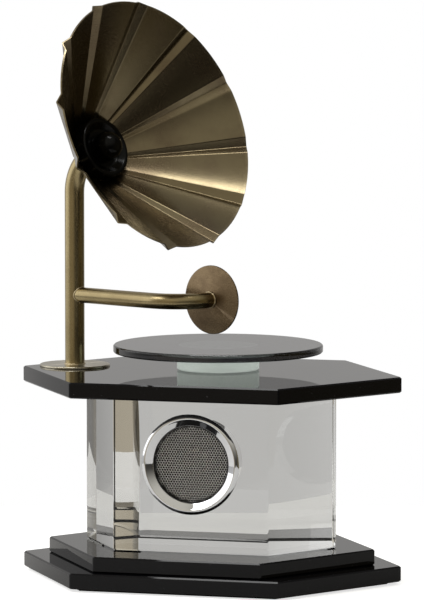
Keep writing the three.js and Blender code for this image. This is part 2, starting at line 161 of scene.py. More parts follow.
def held(line, closed):
    """The same line with a point close to each end of its long stretches, so that they shade flat."""
    margin = 0.2
    kept = []
    for i, start in enumerate(line):
        kept.append(start)
        if i == len(line) - 1 and not closed:
            continue
        end = line[(i + 1) % len(line)]
        length = (end - start).length
        if length > 5 * margin:
            kept.append(start.lerp(end, margin / length))
            kept.append(end.lerp(start, margin / length))
    return kept


def hexagon(size, inset, corner):
    """Elongated hexagon, inset all round, with softened corners, as flat points."""
    slant = math.atan2(size["depth"], size["tip"] - size["shoulder"])
    tip = size["tip"] - inset / math.sin(slant)
    shoulder = size["shoulder"] - inset * math.tan(slant / 2)
    depth = size["depth"] - inset
    front = [(-tip, 0), (-shoulder, -depth), (shoulder, -depth)]
    corners = front + [(-x, -y) for x, y in front]
    return eased([Vector(point) for point in corners], corner, 4, closed=True)


# ---- pieces ----


def finish_piece(name, mesh, finish, body, stands_for=(), place=None, sharp=35):
    """Puts a mesh, given in millimetres, into the scene as one piece that rides on a body."""
    bm = bmesh.new()
    bm.from_mesh(mesh)
    bmesh.ops.recalc_face_normals(bm, faces=bm.faces)
    bm.to_mesh(mesh)
    bm.free()
    mesh.transform(Matrix.Scale(MM, 4))
    if place is not None:
        mesh.transform(place)
    mesh.shade_smooth()
    mesh.set_sharp_from_angle(angle=math.radians(sharp))
    mesh.materials.append(finish)
    piece = bpy.data.objects.new(name, mesh)
    bpy.context.scene.collection.objects.link(piece)
    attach(piece, body)
    if stands_for:
        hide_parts(*stands_for)
    return piece


def new_mesh(name, points, faces, grain=None):
    """A mesh from points, with an optional direction of grain kept on each point."""
    mesh = bpy.data.meshes.new(name)
    mesh.from_pydata([tuple(point) for point in points], [], faces)
    mesh.validate()
    if grain:
        layer = mesh.attributes.new("grain", "FLOAT_VECTOR", "POINT")
        flat = [value for vector in grain for value in vector]
        layer.data.foreach_set("vector", flat)
    return mesh


def stitched(below, above):
    """Four-sided faces between two closed rings with the same count of points."""
    count = len(below)
    faces = []
    for k in range(count):
        j = (k + 1) % count
        faces.append((below[k], below[j], above[j], above[k]))
    return faces


def ring_of(bm, x, z, radius, y):
    """Points of a bmesh on a circle that faces front to back."""
    ring = []
    for k in range(ROUND):
        angle = math.tau * k / ROUND
        ring.append(bm.verts.new((x + radius * math.cos(angle), y, z + radius * math.sin(angle))))
    return ring


def edges_of(bm, ring):
    return [bm.edges.get((ring[k], ring[(k + 1) % len(ring)])) for k in range(len(ring))]


def seat(origin, along=UP, across=None):
    """A place for a turned piece: origin in millimetres and the way its axis points."""
    along = along.normalized()
    if across is None:
        across = Vector((1, 0, 0)) if abs(along.x) < 0.9 else Vector((0, 0, 1))
    over = along.cross(across).normalized()
    across = over.cross(along)
    turn = Matrix((across, over, along)).transposed().to_4x4()
    return Matrix.Translation(origin * MM) @ turn


def turned_mesh(name, outline, segments, closed, straight=False):
    """Outline of (radius, height) turned about the local Z axis, with grain round it or straight."""
    around = 4.0
    points, grain, rings = [], [], []
    run = 0.0
    for i, (radius, height) in enumerate(outline):
        if i:
            run += math.dist(outline[i - 1], outline[i])
        if radius < 1e-4:
            rings.append([len(points)])
            points.append((0, 0, height))
            grain.append((0, 0, run))
            continue
        ring = []
        for k in range(segments):
            angle = 2 * math.pi * k / segments
            ring.append(len(points))
            x, y = radius * math.cos(angle), radius * math.sin(angle)
            points.append((x, y, height))
            if straight:
                grain.append((x, y * 0.04, height))
            else:
                grain.append((around * math.cos(angle), around * math.sin(angle), run))
        rings.append(ring)
    faces = []
    pairs = list(zip(rings, rings[1:]))
    if closed:
        pairs.append((rings[-1], rings[0]))
    for low, high in pairs:
        if len(low) == 1 and len(high) == 1:
            continue
        if len(low) == 1:
            faces += [(low[0], high[(k + 1) % segments], high[k]) for k in range(segments)]
        elif len(high) == 1:
            faces += [(low[k], low[(k + 1) % segments], high[0]) for k in range(segments)]
        else:
            faces += stitched(low, high)
    return new_mesh(name, points, faces, grain)


def turned(
    name, outline, finish, body, place, stands_for=(), segments=ROUND,
    ease=0.2, sharp=35, straight=False,
):
    """A piece turned from an outline; one that doesn't start on its axis closes on itself."""
    closed = outline[0][0] > 1e-4
    line = held(eased([Vector(point) for point in outline], ease, 3, closed), closed)
    mesh = turned_mesh(name, [tuple(point) for point in line], segments, closed, straight)
    return finish_piece(name, mesh, finish, body, stands_for, place, sharp)


def swept_mesh(name, path, radii, segments):
    """A round bar along a path with its own radius at each point, and grain that runs along it."""
    stretch = 0.02
    tangents = []
    for i in range(len(path)):
        ahead = path[min(i + 1, len(path) - 1)]
        behind = path[max(i - 1, 0)]
        tangents.append((ahead - behind).normalized())
    side = tangents[0].orthogonal().normalized()
    points, grain, faces = [], [], []
    run = 0.0
    for i, (centre, tangent) in enumerate(zip(path, tangents)):
        side = (side - tangent * side.dot(tangent)).normalized()
        over = tangent.cross(side)
        if i:
            run += (path[i] - path[i - 1]).length
        for k in range(segments):
            angle = 2 * math.pi * k / segments
            spoke = side * math.cos(angle) + over * math.sin(angle)
            points.append(centre + spoke * radii[i])
            grain.append((math.cos(angle) * radii[i], math.sin(angle) * radii[i], run * stretch))
    rings = [range(i * segments, (i + 1) * segments) for i in range(len(path))]
    for low, high in zip(rings, rings[1:]):
        faces += stitched(low, high)
    faces.append(tuple(reversed(rings[0])))
    faces.append(tuple(rings[-1]))
    return new_mesh(name, points, faces, grain)


def arc_points(start, along, towards, radius, angle, steps):
    """Points round a bend that leaves start along one way and turns towards another."""
    points = []
    for i in range(1, steps + 1):
        turn = angle * i / steps
        ahead = along * (radius * math.sin(turn))
        aside = towards * (radius * (1 - math.cos(turn)))
        points.append(start + ahead + aside)
    return points


def straight_points(start, end, steps):
    return [start.lerp(end, i / steps) for i in range(steps + 1)]


def weld_bead(name, ring, width):
    """A run of weld round a closed line: a low uneven cord of metal with ripples across it."""
    path, radii = ring + ring[:1], []
    for i, point in enumerate(path):
        lump = noise.noise(point * 0.9)
        ripple = math.sin(i * math.tau / 5)
        radii.append(width * (1 + 0.22 * lump + 0.07 * ripple))
    mesh = swept_mesh(name, path, radii, segments=14)
    return finish_piece(name, mesh, WELD, "base", sharp=80)


# ---- finishes: shared effects ----


def new_group(name, inputs, outputs):
    """An empty node group with named sockets: (name, kind, value) in, (name, kind) out."""
    group = bpy.data.node_groups.new(name, "ShaderNodeTree")
    for socket, kind, value in inputs:
        made = group.interface.new_socket(socket, in_out="INPUT", socket_type="NodeSocket" + kind)
        if value is not None:
            made.default_value = value
    for socket, kind in outputs:
        group.interface.new_socket(socket, in_out="OUTPUT", socket_type="NodeSocket" + kind)
    entry = group.nodes.new("NodeGroupInput")
    leave = group.nodes.new("NodeGroupOutput")
    return group, entry, leave


def add_node(tree, kind, settings=None, **values):
    """One node with its settings and plain socket values, spaces in socket names as underscores."""
    node = tree.nodes.new("ShaderNode" + kind)
    for key, value in (settings or {}).items():
        setattr(node, key, value)
    for socket, value in values.items():
        node.inputs[socket.replace("_", " ")].default_value = value
    return node


def map_value(tree, source, low, high, out_low, out_high, smooth=True):
    """Maps a mask from one range to another; the new ends may be sockets."""
    node = add_node(tree, "MapRange", {"interpolation_type": "SMOOTHSTEP" if smooth else "LINEAR"})
    tree.links.new(source, node.inputs["Value"])
    for socket, value in (("From Min", low), ("From Max", high), ("To Min", out_low), ("To Max", out_high)):
        if isinstance(value, bpy.types.NodeSocket):
            tree.links.new(value, node.inputs[socket])
        else:
            node.inputs[socket].default_value = value
    return node.outputs["Result"]


def noise_of(tree, vector, scale, detail=4.0, roughness=0.6):
    node = add_node(tree, "TexNoise", Detail=detail, Roughness=roughness)
    tree.links.new(vector, node.inputs["Vector"])
    if isinstance(scale, bpy.types.NodeSocket):
        tree.links.new(scale, node.inputs["Scale"])
    else:
        node.inputs["Scale"].default_value = scale
    return node.outputs["Fac"]


def math_of(tree, operation, first, second):
    node = add_node(tree, "Math", {"operation": operation})
    for i, value in enumerate((first, second)):
        if isinstance(value, bpy.types.NodeSocket):
            tree.links.new(value, node.inputs[i])
        else:
            node.inputs[i].default_value = value
    return node.outputs["Value"]


def make_brushing():
    """Fine parallel scratches: streaks for colour and roughness, and a height for the bump."""
    group, entry, leave = new_group(
        "brushed_lines",
        [("Vector", "Vector", None), ("Fineness", "Float", 6.0)],
        [("Streaks", "Float"), ("Bands", "Float"), ("Height", "Float")],
    )
    fine = noise_of(group, entry.outputs["Vector"], entry.outputs["Fineness"], 8.0, 0.75)
    coarse_scale = math_of(group, "MULTIPLY", entry.outputs["Fineness"], 0.09)
    bands = noise_of(group, entry.outputs["Vector"], coarse_scale, 3.0, 0.55)
    streaks = map_value(group, fine, 0.34, 0.66, 0.0, 1.0)
    group.links.new(streaks, leave.inputs["Streaks"])
    group.links.new(map_value(group, bands, 0.35, 0.65, 0.0, 1.0), leave.inputs["Bands"])
    group.links.new(fine, leave.inputs["Height"])
    return group


def make_patina():
    """Cloudy change between a clean and an aged colour, with the mask of where it is aged."""
    group, entry, leave = new_group(
        "aged_patches",
        [
            ("Vector", "Vector", None),
            ("Scale", "Float", 40.0),
            ("Clean", "Color", (1, 1, 1, 1)),
            ("Aged", "Color", (0, 0, 0, 1)),
            ("Amount", "Float", 0.6),
        ],
        [("Color", "Color"), ("Mask", "Float")],
    )
    cloud = noise_of(group, entry.outputs["Vector"], entry.outputs["Scale"], 5.0, 0.6)
    clouded = map_value(group, cloud, 0.38, 0.64, 0.0, 1.0)
    mask = math_of(group, "MULTIPLY", clouded, entry.outputs["Amount"])
    mix = add_node(group, "Mix", {"data_type": "RGBA"})
    group.links.new(mask, mix.inputs["Factor"])
    group.links.new(entry.outputs["Clean"], mix.inputs["A"])
    group.links.new(entry.outputs["Aged"], mix.inputs["B"])
    group.links.new(mix.outputs["Result"], leave.inputs["Color"])
    group.links.new(mask, leave.inputs["Mask"])
    return group


def make_handling():
    """Faint wiping marks and dust on a polished face, as its roughness."""
    group, entry, leave = new_group(
        "wiping_marks",
        [("Vector", "Vector", None), ("Clean", "Float", 0.03), ("Marked", "Float", 0.09)],
        [("Roughness", "Float"), ("Dust", "Float")],
    )
    stretch = add_node(group, "Mapping", Scale=(1.0, 3.2, 1.0), Rotation=(0.0, 0.0, 0.5))
    group.links.new(entry.outputs["Vector"], stretch.inputs["Vector"])
    wipes = noise_of(group, stretch.outputs["Vector"], 26.0, 5.0, 0.62)
    rough = map_value(group, wipes, 0.45, 0.72, entry.outputs["Clean"], entry.outputs["Marked"])
    specks = noise_of(group, entry.outputs["Vector"], 900.0, 2.0, 0.5)
    group.links.new(rough, leave.inputs["Roughness"])
    group.links.new(map_value(group, specks, 0.70, 0.78, 0.0, 1.0), leave.inputs["Dust"])
    return group


def make_edge_wear():
    """Mask of the outward corners, broken up so that it isn't an even line."""
    group, entry, leave = new_group(
        "rubbed_edges",
        [("Vector", "Vector", None), ("Start", "Float", 0.52), ("Full", "Float", 0.62)],
        [("Mask", "Float")],
    )
    shape = add_node(group, "NewGeometry")
    corner = map_value(
        group, shape.outputs["Pointiness"], entry.outputs["Start"], entry.outputs["Full"], 0.0, 1.0
    )
    scuffs = noise_of(group, entry.outputs["Vector"], 420.0, 4.0, 0.6)
    broken = map_value(group, scuffs, 0.35, 0.6, 0.35, 1.0)
    group.links.new(math_of(group, "MULTIPLY", corner, broken), leave.inputs["Mask"])
    return group


def make_grainy():
    """Fine moulded or pressed grain: a height for the bump and a mask for colour."""
    group, entry, leave = new_group(
        "pressed_grain",
        [("Vector", "Vector", None), ("Scale", "Float", 1500.0)],
        [("Mask", "Float"), ("Height", "Float")],
    )
    grit = noise_of(group, entry.outputs["Vector"], entry.outputs["Scale"], 4.0, 0.65)
    group.links.new(map_value(group, grit, 0.35, 0.65, 0.0, 1.0), leave.inputs["Mask"])
    group.links.new(grit, leave.inputs["Height"])
    return group


BRUSHING = make_brushing()
PATINA = make_patina()
HANDLING = make_handling()
EDGE_WEAR = make_edge_wear()
GRAINY = make_grainy()

# ---- finishes: materials ----


class Finish:
    """A material under construction: its shader, its coordinates and helpers to wire effects."""

    def __init__(self, name, **values):
        self.material = bpy.data.materials.new(name)
        self.material.use_nodes = True
        self.tree = self.material.node_tree
        self.shader = self.tree.nodes["Principled BSDF"]
        for socket, value in values.items():
            self.shader.inputs[socket.replace("_", " ")].default_value = value
        coordinates = add_node(self.tree, "TexCoord")
        self.place = coordinates.outputs["Object"]

    def grain(self):
        """The direction of grain stored on the mesh."""
        return add_node(self.tree, "Attribute", {"attribute_name": "grain"}).outputs["Vector"]

    def effect(self, group, vector, **values):
        node = self.tree.nodes.new("ShaderNodeGroup")
        node.node_tree = group
        self.tree.links.new(vector, node.inputs["Vector"])
        for socket, value in values.items():
            node.inputs[socket].default_value = value
        return node

    def feed(self, source, socket):
        self.tree.links.new(source, self.shader.inputs[socket])

    def mix(self, mask, first, second):
        """Mixes two colours, each a colour or a socket, by a mask."""
        node = add_node(self.tree, "Mix", {"data_type": "RGBA"})
        self.tree.links.new(mask, node.inputs["Factor"])
        for socket, value in (("A", first), ("B", second)):
            if isinstance(value, bpy.types.NodeSocket):
                self.tree.links.new(value, node.inputs[socket])
            else:
                node.inputs[socket].default_value = (*value, 1)
        return node.outputs["Result"]

    def bump(self, height, distance, strength=1.0):
        node = add_node(self.tree, "Bump", Distance=distance, Strength=strength)
        self.tree.links.new(height, node.inputs["Height"])
        self.feed(node.outputs["Normal"], "Normal")


def polished_black_glass():
    f = Finish("polished_black_glass", IOR=1.3, Base_Color=(0.004, 0.004, 0.005, 1))
    marks = f.effect(HANDLING, f.place, Clean=0.02, Marked=0.06)
    f.feed(marks.outputs["Roughness"], "Roughness")
    f.feed(f.mix(marks.outputs["Dust"], (0.004, 0.004, 0.005), (0.05, 0.05, 0.055)), "Base Color")
    return f.material


def clear_crystal(name, tint, clean):
    f = Finish(name, IOR=1.5, Transmission_Weight=1.0)
    marks = f.effect(HANDLING, f.place, Clean=clean, Marked=clean + 0.008)
    f.feed(marks.outputs["Roughness"], "Roughness")
    f.feed(f.mix(marks.outputs["Dust"], tint, tuple(0.97 * value for value in tint)), "Base Color")
    return f.material


def frosted_glass_painted_glow():
    # The emission is a painted glow: the spacer is no lamp, and the faint mint light stands in for light
    # that the clear glass carries inside it by internal reflection.
    f = Finish("frosted_spacer_painted_glow", IOR=1.5, Transmission_Weight=0.5, Emission_Strength=0.22)
    f.shader.inputs["Emission Color"].default_value = (0.86, 0.95, 0.88, 1)
    grit = f.effect(GRAINY, f.place, Scale=700.0)
    f.feed(f.mix(grit.outputs["Mask"], (0.78, 0.83, 0.80), (0.86, 0.90, 0.87)), "Base Color")
    f.feed(map_value(f.tree, grit.outputs["Mask"], 0.0, 1.0, 0.32, 0.42), "Roughness")
    return f.material


def smoked_glass():
    f = Finish("smoked_glass", IOR=1.5, Transmission_Weight=1.0)
    marks = f.effect(HANDLING, f.place, Clean=0.01, Marked=0.045)
    f.feed(marks.outputs["Roughness"], "Roughness")
    f.feed(f.mix(marks.outputs["Dust"], (0.035, 0.035, 0.038), (0.07, 0.07, 0.07)), "Base Color")
    return f.material


def antique_brass(name, clean, aged, roughness, fineness, patch_scale, amount):
    """Brushed and lacquered brass with brown patches and paler rubbed corners."""
    f = Finish(name, Metallic=1.0)
    brushed = f.effect(BRUSHING, f.grain(), Fineness=fineness)
    patches = f.effect(
        PATINA, f.place, Scale=patch_scale, Clean=(*clean, 1), Aged=(*aged, 1), Amount=amount
    )
    worn = f.effect(EDGE_WEAR, f.place)
    dimmed = tuple(0.72 * value for value in clean)
    lines = f.mix(brushed.outputs["Streaks"], patches.outputs["Color"], dimmed)
    soft = add_node(f.tree, "Mix", {"data_type": "RGBA"}, Factor=0.35)
    f.tree.links.new(patches.outputs["Color"], soft.inputs["A"])
    f.tree.links.new(lines, soft.inputs["B"])
    bright = tuple(min(1, 1.5 * value + 0.05) for value in clean)
    f.feed(f.mix(worn.outputs["Mask"], soft.outputs["Result"], bright), "Base Color")
    spread = math_of(f.tree, "MULTIPLY", brushed.outputs["Streaks"], 0.10)
    cloudy = math_of(f.tree, "MULTIPLY", patches.outputs["Mask"], 0.10)
    total = math_of(f.tree, "ADD", math_of(f.tree, "ADD", spread, cloudy), roughness)
    f.feed(total, "Roughness")
    f.bump(brushed.outputs["Height"], 0.00002, 0.8)
    return f.material


def polished_chrome():
    f = Finish("polished_chrome", Metallic=1.0)
    marks = f.effect(HANDLING, f.place, Clean=0.03, Marked=0.09)
    f.feed(marks.outputs["Roughness"], "Roughness")
    f.feed(f.mix(marks.outputs["Dust"], (0.80, 0.81, 0.83), (0.62, 0.62, 0.63)), "Base Color")
    return f.material


def satin_steel(name, tone, roughness):
    f = Finish(name, Metallic=1.0)
    grit = f.effect(GRAINY, f.place, Scale=2200.0)
    f.feed(f.mix(grit.outputs["Mask"], tuple(0.8 * v for v in tone), tone), "Base Color")
    f.feed(map_value(f.tree, grit.outputs["Mask"], 0.0, 1.0, roughness, roughness + 0.12), "Roughness")
    f.bump(grit.outputs["Height"], 0.00001, 0.5)
    return f.material


def gloss_black():
    f = Finish("gloss_black_lacquer", IOR=1.25)
    marks = f.effect(HANDLING, f.place, Clean=0.16, Marked=0.26)
    f.feed(marks.outputs["Roughness"], "Roughness")
    f.feed(f.mix(marks.outputs["Dust"], (0.002, 0.002, 0.002), (0.02, 0.02, 0.02)), "Base Color")
    return f.material


def moulded(name, tone, second, roughness, scale, depth):
    """Plastics, rubber, felt, paper and the like: two close tones over a fine grain."""
    f = Finish(name)
    grit = f.effect(GRAINY, f.place, Scale=scale)
    f.feed(f.mix(grit.outputs["Mask"], tone, second), "Base Color")
    rougher = min(1.0, roughness + 0.1)
    f.feed(map_value(f.tree, grit.outputs["Mask"], 0.0, 1.0, roughness, rougher), "Roughness")
    f.bump(grit.outputs["Height"], depth, 0.8)
    return f.material


BLACK_GLASS = polished_black_glass()
CRYSTAL = clear_crystal("clear_crystal", (0.93, 0.94, 0.935), 0.0)
# The spacer's frosted glass also carries a painted glow from its emission.
SPACER_GLASS_PAINTED_GLOW = frosted_glass_painted_glow()
SMOKED_GLASS = smoked_glass()
TUBE_BRASS = antique_brass(
    "tube_brass", (0.40, 0.325, 0.175), (0.25, 0.19, 0.10), 0.20, 5.0, 30.0, 0.55
)
SHEET_BRASS = antique_brass(
    "sheet_brass", (0.23, 0.19, 0.115), (0.12, 0.085, 0.055), 0.13, 5.5, 22.0, 0.75
)
BOX_BRASS = antique_brass(
    "sound_box_brass", (0.20, 0.145, 0.085), (0.11, 0.075, 0.045), 0.2, 6.0, 60.0, 0.6
)
FLANGE_BRASS = antique_brass(
    "flange_brass", (0.52, 0.48, 0.38), (0.40, 0.35, 0.25), 0.22, 5.0, 50.0, 0.5
)
CHROME = polished_chrome()
GRILLE_STEEL = satin_steel("grille_steel", (0.95, 0.95, 0.95), 0.25)
STEEL = satin_steel("satin_steel", (0.56, 0.57, 0.58), 0.32)
WELD = satin_steel("weld_brass", (0.62, 0.52, 0.34), 0.30)
GLOSS_BLACK = gloss_black()
BLACK_PLASTIC = moulded("black_plastic", (0.012, 0.012, 0.013), (0.02, 0.02, 0.021), 0.42, 1600.0, 0.00002)
RUBBER = moulded("black_rubber", (0.012, 0.012, 0.012), (0.022, 0.022, 0.022), 0.75, 1100.0, 0.00003)
FELT = moulded("pressed_felt", (0.008, 0.008, 0.009), (0.03, 0.03, 0.032), 0.92, 900.0, 0.0002)
PAPER = moulded("pressed_paper", (0.016, 0.016, 0.018), (0.035, 0.035, 0.038), 0.85, 700.0, 0.00008)
COPPER = moulded("enamelled_winding", (0.06, 0.024, 0.012), (0.10, 0.04, 0.02), 0.35, 800.0, 0.00005)
FERRITE = moulded("sintered_ferrite", (0.03, 0.03, 0.034), (0.055, 0.055, 0.06), 0.6, 900.0, 0.00005)
BOARD = moulded("solder_mask_green", (0.008, 0.06, 0.022), (0.014, 0.09, 0.034), 0.4, 600.0, 0.00003)
CELL = moulded("blue_shrink_wrap", (0.03, 0.06, 0.14), (0.05, 0.085, 0.18), 0.35, 400.0, 0.00002)

CARRIED_OVER = {
    "base_felt": FELT,
    "grille_gasket": RUBBER,
    "speaker_basket": BLACK_PLASTIC,
    "cone_surround": RUBBER,
    "speaker_cone": PAPER,
    "dust_cap": PAPER,
    "voice_coil": COPPER,
    "spider": PAPER,
    "pole_plate": STEEL,
    "magnet": FERRITE,
    "yoke": STEEL,
    "amplifier_board": BOARD,
    "battery_cell": CELL,
    "button_switch": BLACK_PLASTIC,
    "spindle": STEEL,
    "slip_washer": BLACK_PLASTIC,
    "stand_insert": STEEL,
    "horn_insert": STEEL,
    "horn_stud": STEEL,
}


def refinish_frame_nodes():
    for node, finish in CARRIED_OVER.items():
        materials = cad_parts[node].data.materials
        materials.clear()
        materials.append(finish)


# ---- the base ----


def prism_mesh(name, size, low, high, arris, corner):
    """A hexagonal plate between two levels with flat polished bevels."""
    levels = [(low, arris), (low + arris, 0.0), (high - arris, 0.0), (high, arris)]
    points, loops = [], []
    for z, inset in levels:
        loop = []
        for point in hexagon(size, inset, corner):
            loop.append(len(points))
            points.append((point.x, point.y, z))
        loops.append(loop)
    faces = [tuple(reversed(loops[0])), tuple(loops[-1])]
    for below, above in zip(loops, loops[1:]):
        faces += stitched(below, above)
    return new_mesh(name, points, faces)


def make_plates():
    for name, size in PLATES.items():
        low, high = in_mm(name)
        mesh = prism_mesh(name + "_glass", size, low.z, high.z, PLATE_ARRIS, PLATE_CORNER)
        finish_piece(name + "_glass", mesh, BLACK_GLASS, "base", (name,), sharp=20)


def make_block():
    """Clear block with a stepped round pocket in its front, and a hair of air above and below it."""
    low, high = in_mm("crystal_block")
    mesh = prism_mesh("block_crystal", BLOCK, low.z + AIR_GAP, high.z - AIR_GAP, BLOCK_ARRIS, BLOCK_CORNER)
    bm = bmesh.new()
    bm.from_mesh(mesh)
    step = low.y + POCKET["mouth_depth"]
    bore = [
        (low.y, POCKET["mouth"]), (step, POCKET["mouth"]), (step, POCKET["radius"]),
        (low.y + POCKET["depth"], POCKET["radius"]),
    ]
    rings = [ring_of(bm, SPEAKER.x, SPEAKER.z, radius, y) for y, radius in bore]
    for first, second in zip(rings, rings[1:]):
        for face in stitched(first, second):
            bm.faces.new(face)
    bm.faces.new(rings[-1])
    bm.normal_update()
    walls = []
    for face in bm.faces:
        if len(face.verts) == 4 and all(abs(vert.co.y - low.y) < 1e-4 for vert in face.verts):
            walls.append(face)
    wall = max(walls, key=lambda face: face.calc_area())
    border = list(wall.edges)
    bm.faces.remove(wall)
    bmesh.ops.triangle_fill(bm, use_beauty=True, edges=border + edges_of(bm, rings[0]))
    bm.to_mesh(mesh)
    bm.free()
    finish_piece("block_crystal", mesh, CRYSTAL, "base", ("crystal_block",), sharp=20)


# ---- the loudspeaker ----


def facing_in(y=BLOCK_FRONT, aside=0.0, above=0.0):
    """A place on the loudspeaker's axis, or beside it, whose own axis points into the block."""
    return seat(Vector((SPEAKER.x + aside, y, SPEAKER.z + above)), INWARD)


def square_ring(size):
    """Outline of a plain ring from its inner and outer radius and its front and back."""
    inner, outer, front, back = size["inner"], size["outer"], size["front"], size["back"]
    return [(inner, front), (outer, front), (outer, back), (inner, back)]


def make_bezel():
    """Chrome ring: a funnel, a rounded crest, a flange that lies on the block and a stepped body."""
    outline = [
        (BEZEL["opening"], BEZEL_BACK), (BEZEL["opening"], BEZEL["funnel_foot"]),
        (22.5, -1.15), (23.0, -1.5), (23.4, -1.6), (24.2, -1.35), (25.0, -0.8),
        (BEZEL["flange"], -0.3), (BEZEL["flange"], 0.0),
        (BEZEL["body"], 0.0), (BEZEL["body"], BEZEL["shelf"]),
        (BEZEL["ledge"], BEZEL["shelf"]), (BEZEL["ledge"], BEZEL_BACK),
    ]
    place = facing_in()
    turned("bezel_chrome", outline, CHROME, "speaker_unit", place, ("bezel_ring",), 128, 0.25)


def make_grille_collar():
    outline = square_ring(COLLAR)
    turned("grille_collar", outline, BLACK_PLASTIC, "speaker_unit", facing_in(), ease=0.05)


def make_grille():
    """Punched sheet: round holes on a staggered pitch, with the metal between them slightly raised."""
    pitch, hole, limit = GRILLE["pitch"], GRILLE["hole"], GRILLE["reach"]
    through = Vector((0, GRILLE["sheet"], 0))
    face = in_mm("grille_mesh")[0].y
    row_height = pitch * math.sqrt(3) / 2
    bm = bmesh.new()
    rows = int(limit / row_height) + 1
    for row in range(-rows, rows + 1):
        shift = pitch / 2 if row % 2 else 0.0
        for column in range(-rows - 2, rows + 3):
            x, z = column * pitch + shift, row * row_height
            if math.hypot(x, z) > limit:
                continue
            rim, edge, back = [], [], []
            for k in range(12):
                angle = math.radians(30 * k + 30)
                reach = pitch / math.sqrt(3) if k % 2 == 0 else pitch / 2
                proud = GRILLE_PROUD["between_three" if k % 2 == 0 else "between_two"]
                way = Vector((math.cos(angle), 0, math.sin(angle)))
                middle = Vector((SPEAKER.x + x, face + GRILLE["set_in"], SPEAKER.z + z))
                rim.append(bm.verts.new(middle + way * reach + Vector((0, -proud, 0))))
                edge.append(bm.verts.new(middle + way * hole))
                back.append(bm.verts.new(middle + way * hole + through))
            for quad in stitched(rim, edge) + stitched(edge, back):
                bm.faces.new(quad)
    bmesh.ops.remove_doubles(bm, verts=bm.verts, dist=0.01)
    mesh = bpy.data.meshes.new("grille_punched")
    bm.to_mesh(mesh)
    bm.free()
    finish_piece("grille_punched", mesh, GRILLE_STEEL, "speaker_unit", ("grille_mesh",), sharp=60)
    outline = square_ring(GRILLE_RIM)
    turned("grille_rim", outline, BLACK_PLASTIC, "speaker_unit", facing_in(face), ease=0.05)


def make_can():
    """Can with a ridged rubber grip band round it."""
    place = facing_in()
    back = CAN_BACK - BLOCK_FRONT
    front = in_mm("speaker_can")[0].y - BLOCK_FRONT
    shell = square_ring({"inner": CAN["inner"], "outer": CAN["outer"], "front": front, "back": back})
    stands_for = ("speaker_can",)
    turned("can_shell", shell, BLACK_PLASTIC, "speaker_unit", place, stands_for, ease=0.4)
    low, high = in_mm("grip_band")
    start, end = low.y - BLOCK_FRONT, high.y - BLOCK_FRONT
    valley, ridge = GRIP["valley"], GRIP["ridge"]
    band = [(GRIP["inner"], start)]
    step = (end - start) / GRIP["ridges"]
    for count in range(GRIP["ridges"]):
        y = start + count * step
        band += [(valley, y), (ridge, y + 0.35 * step), (ridge, y + 0.65 * step), (valley, y + step)]
    band.append((GRIP["inner"], end))
    turned("grip_rubber", band, RUBBER, "speaker_unit", place, ("grip_band",), ease=0.1)


def make_can_back():
    """Back plate of the can, pierced for the button and the socket, with eased edges outside."""
    bm = bmesh.new()
    arris = CAN["arris"]
    rounds = [
        (0.0, 0.0, CAN["back_plate"], -arris),
        (REAR["aside"], REAR["above"], REAR["button_hole"], arris),
        (-REAR["aside"], REAR["above"], REAR["socket_hole"], arris),
    ]
    stacks = []
    for aside, above, reach, ease in rounds:
        x, z = SPEAKER.x + aside, SPEAKER.z + above
        stacks.append([
            ring_of(bm, x, z, reach, CAN_BACK - CAN["back_thickness"]),
            ring_of(bm, x, z, reach, CAN_BACK - arris),
            ring_of(bm, x, z, reach + ease, CAN_BACK - 0.02),
        ])
    for stack in stacks:
        for first, second in zip(stack, stack[1:]):
            for face in stitched(first, second):
                bm.faces.new(face)
    for level in (0, -1):
        border = [edge for stack in stacks for edge in edges_of(bm, stack[level])]
        bmesh.ops.triangle_fill(bm, use_beauty=True, edges=border)
    mesh = bpy.data.meshes.new("can_back")
    bm.to_mesh(mesh)
    bm.free()
    finish_piece("can_back", mesh, BLACK_PLASTIC, "speaker_unit", sharp=30)


def make_rear_fittings():
    """The push button and the sound socket in the back of the can."""
    press = facing_in(CAN_BACK, REAR["aside"], REAR["above"])
    outline = [
        (0, -3.2), (1.2, -3.2), (1.2, -2.2), (3.6, -2.2), (3.6, -1.1), (2.7, -1.1), (2.7, 1.2),
        (2.3, 1.5), (1.4, 1.3), (0, 1.2),
    ]
    stands_for = ("power_button",)
    turned("button_cap", outline, GLOSS_BLACK, "power_button", press, stands_for, 64, 0.15)
    jack = facing_in(CAN_BACK, -REAR["aside"], REAR["above"])
    outline = [
        (0, -8.0), (2.9, -8.0), (2.9, -1.1), (2.4, -1.1), (2.4, 0.4), (2.0, 0.4), (1.8, 0.2), (1.8, -6.8),
        (0, -6.8),
    ]
    stands_for = ("audio_socket",)
    turned("socket_body", outline, BLACK_PLASTIC, "speaker_unit", jack, stands_for, 64, 0.1)


# ---- the turntable ----


def glass_disc(radius, thickness):
    """Outline of a disc with bevelled edges."""
    inner = radius - DISC_ARRIS
    side = [(radius, DISC_ARRIS), (radius, thickness - DISC_ARRIS)]
    return [(0, 0), (inner, 0)] + side + [(inner, thickness), (0, thickness)]


def make_turntable():
    low, high = in_mm("turntable_disc")
    middle = centre_of("turntable_disc")
    radius, thick = (high.x - low.x) / 2, high.z - low.z
    place = seat(Vector((middle.x, middle.y, low.z)))
    disc = glass_disc(radius, thick)
    stands_for = ("turntable_disc",)
    turned("record_disc", disc, SMOKED_GLASS, "turntable", place, stands_for, 192, 0.12, 25)
    low, high = in_mm("spacer_disc")
    radius, tall = (high.x - low.x) / 2, high.z - low.z
    place = seat(Vector((middle.x, middle.y, low.z)))
    bore, depth = PIVOT_BORE["radius"], PIVOT_BORE["depth"]
    puck = [(0, depth), (bore, depth), (bore, 0)] + glass_disc(radius, tall)[1:]
    turned("spacer_puck", puck, SPACER_GLASS_PAINTED_GLOW, "turntable", place, ("spacer_disc",), 128, 0.12, 25)


# ---- the stand, the arm and the sound box ----


